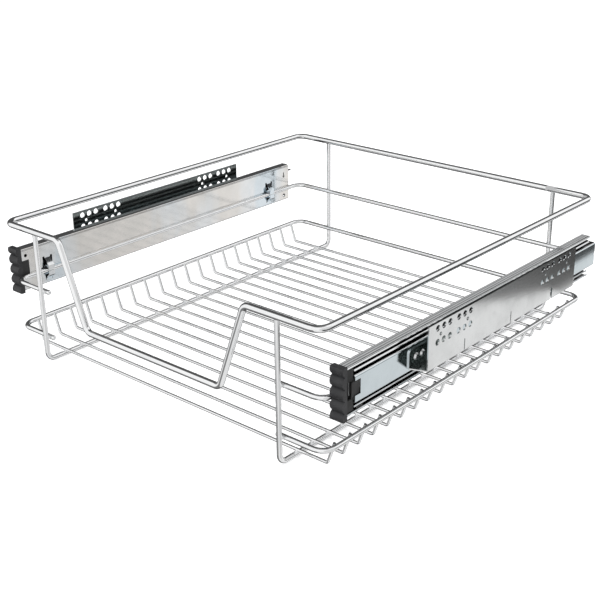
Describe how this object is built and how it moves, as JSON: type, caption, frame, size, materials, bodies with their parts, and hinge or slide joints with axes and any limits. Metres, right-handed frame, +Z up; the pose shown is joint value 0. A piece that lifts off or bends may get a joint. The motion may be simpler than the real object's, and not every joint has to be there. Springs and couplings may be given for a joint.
{
  "type": "pull-out cabinet basket",
  "caption": "Chrome wire basket with a dipped front rail on two full-extension ball-bearing slides with bracket plates that screw to the cabinet's sides.",
  "frame": {"origin": "on the floor plane of the lowest wires, under the middle of the assembly with the slides closed", "axes": "+X to the right across the cabinet, +Y into the cabinet, +Z up; the basket pulls out along -Y"},
  "size_m": [0.4698, 0.4494, 0.1416],
  "materials": {
    "chrome_wire": "bright chrome-plated steel wire",
    "member_zinc": "bright zinc-plated rolled steel with faint drawing lines",
    "bracket_zinc": "bright zinc-plated pressed steel",
    "rivet_steel": "zinc-plated rivet heads",
    "ball_steel": "polished hardened steel balls",
    "cage_plastic": "black moulded plastic",
    "cap_plastic": "black moulded plastic, fine matt grain",
    "bumper_rubber": "black moulded rubber"
  },
  "bodies": {
    "cabinet_side": {"cabinet_member_left": "member_zinc", "cabinet_member_right": "member_zinc", "bracket_left": "bracket_zinc", "bracket_right": "bracket_zinc", "bracket_rivets_left": "rivet_steel", "bracket_rivets_right": "rivet_steel"},
    "basket": {"top_rail": "chrome_wire", "middle_ring": "chrome_wire", "lower_ring": "chrome_wire", "runner_frame_left": "chrome_wire", "runner_frame_right": "chrome_wire", "floor_wire_01": "chrome_wire", "floor_wire_02": "chrome_wire", "floor_wire_03": "chrome_wire", "floor_wire_04": "chrome_wire", "floor_wire_05": "chrome_wire", "floor_wire_06": "chrome_wire", "floor_wire_07": "chrome_wire", "floor_wire_08": "chrome_wire", "floor_wire_09": "chrome_wire", "floor_wire_10": "chrome_wire", "floor_wire_11": "chrome_wire", "floor_wire_12": "chrome_wire", "floor_wire_13": "chrome_wire", "floor_wire_14": "chrome_wire", "floor_wire_15": "chrome_wire", "floor_wire_16": "chrome_wire", "floor_wire_17": "chrome_wire", "floor_wire_18": "chrome_wire", "floor_wire_19": "chrome_wire", "floor_wire_20": "chrome_wire", "basket_member_left": "member_zinc", "basket_member_right": "member_zinc", "end_cap_left": "cap_plastic", "end_cap_right": "cap_plastic", "bumper_left": "bumper_rubber", "bumper_right": "bumper_rubber"},
    "middle_left": {"middle_member_left": "member_zinc"},
    "outer_cage_left": {"outer_cage_left": "cage_plastic", "outer_balls_left": "ball_steel"},
    "inner_cage_left": {"inner_cage_left": "cage_plastic", "inner_balls_left": "ball_steel"},
    "middle_right": {"middle_member_right": "member_zinc"},
    "outer_cage_right": {"outer_cage_right": "cage_plastic", "outer_balls_right": "ball_steel"},
    "inner_cage_right": {"inner_cage_right": "cage_plastic", "inner_balls_right": "ball_steel"}
  },
  "joints": [
    {"name": "basket_slide", "type": "slide", "parent": "cabinet_side", "child": "basket", "axis": [0, -1, 0], "range_m": [0, 0.4]},
    {"name": "middle_left_slide", "type": "slide", "parent": "cabinet_side", "child": "middle_left", "axis": [0, -1, 0], "range_m": [0, 0.2]},
    {"name": "outer_cage_left_slide", "type": "slide", "parent": "cabinet_side", "child": "outer_cage_left", "axis": [0, -1, 0], "range_m": [0, 0.3]},
    {"name": "inner_cage_left_slide", "type": "slide", "parent": "cabinet_side", "child": "inner_cage_left", "axis": [0, -1, 0], "range_m": [0, 0.1]},
    {"name": "middle_right_slide", "type": "slide", "parent": "cabinet_side", "child": "middle_right", "axis": [0, -1, 0], "range_m": [0, 0.2]},
    {"name": "outer_cage_right_slide", "type": "slide", "parent": "cabinet_side", "child": "outer_cage_right", "axis": [0, -1, 0], "range_m": [0, 0.3]},
    {"name": "inner_cage_right_slide", "type": "slide", "parent": "cabinet_side", "child": "inner_cage_right", "axis": [0, -1, 0], "range_m": [0, 0.1]}
  ],
  "couplings": [
    {"joint": "middle_left_slide", "follows": "basket_slide", "ratio": 0.5},
    {"joint": "outer_cage_left_slide", "follows": "basket_slide", "ratio": 0.75},
    {"joint": "inner_cage_left_slide", "follows": "basket_slide", "ratio": 0.25},
    {"joint": "middle_right_slide", "follows": "basket_slide", "ratio": 0.5},
    {"joint": "outer_cage_right_slide", "follows": "basket_slide", "ratio": 0.75},
    {"joint": "inner_cage_right_slide", "follows": "basket_slide", "ratio": 0.25}
  ]
}
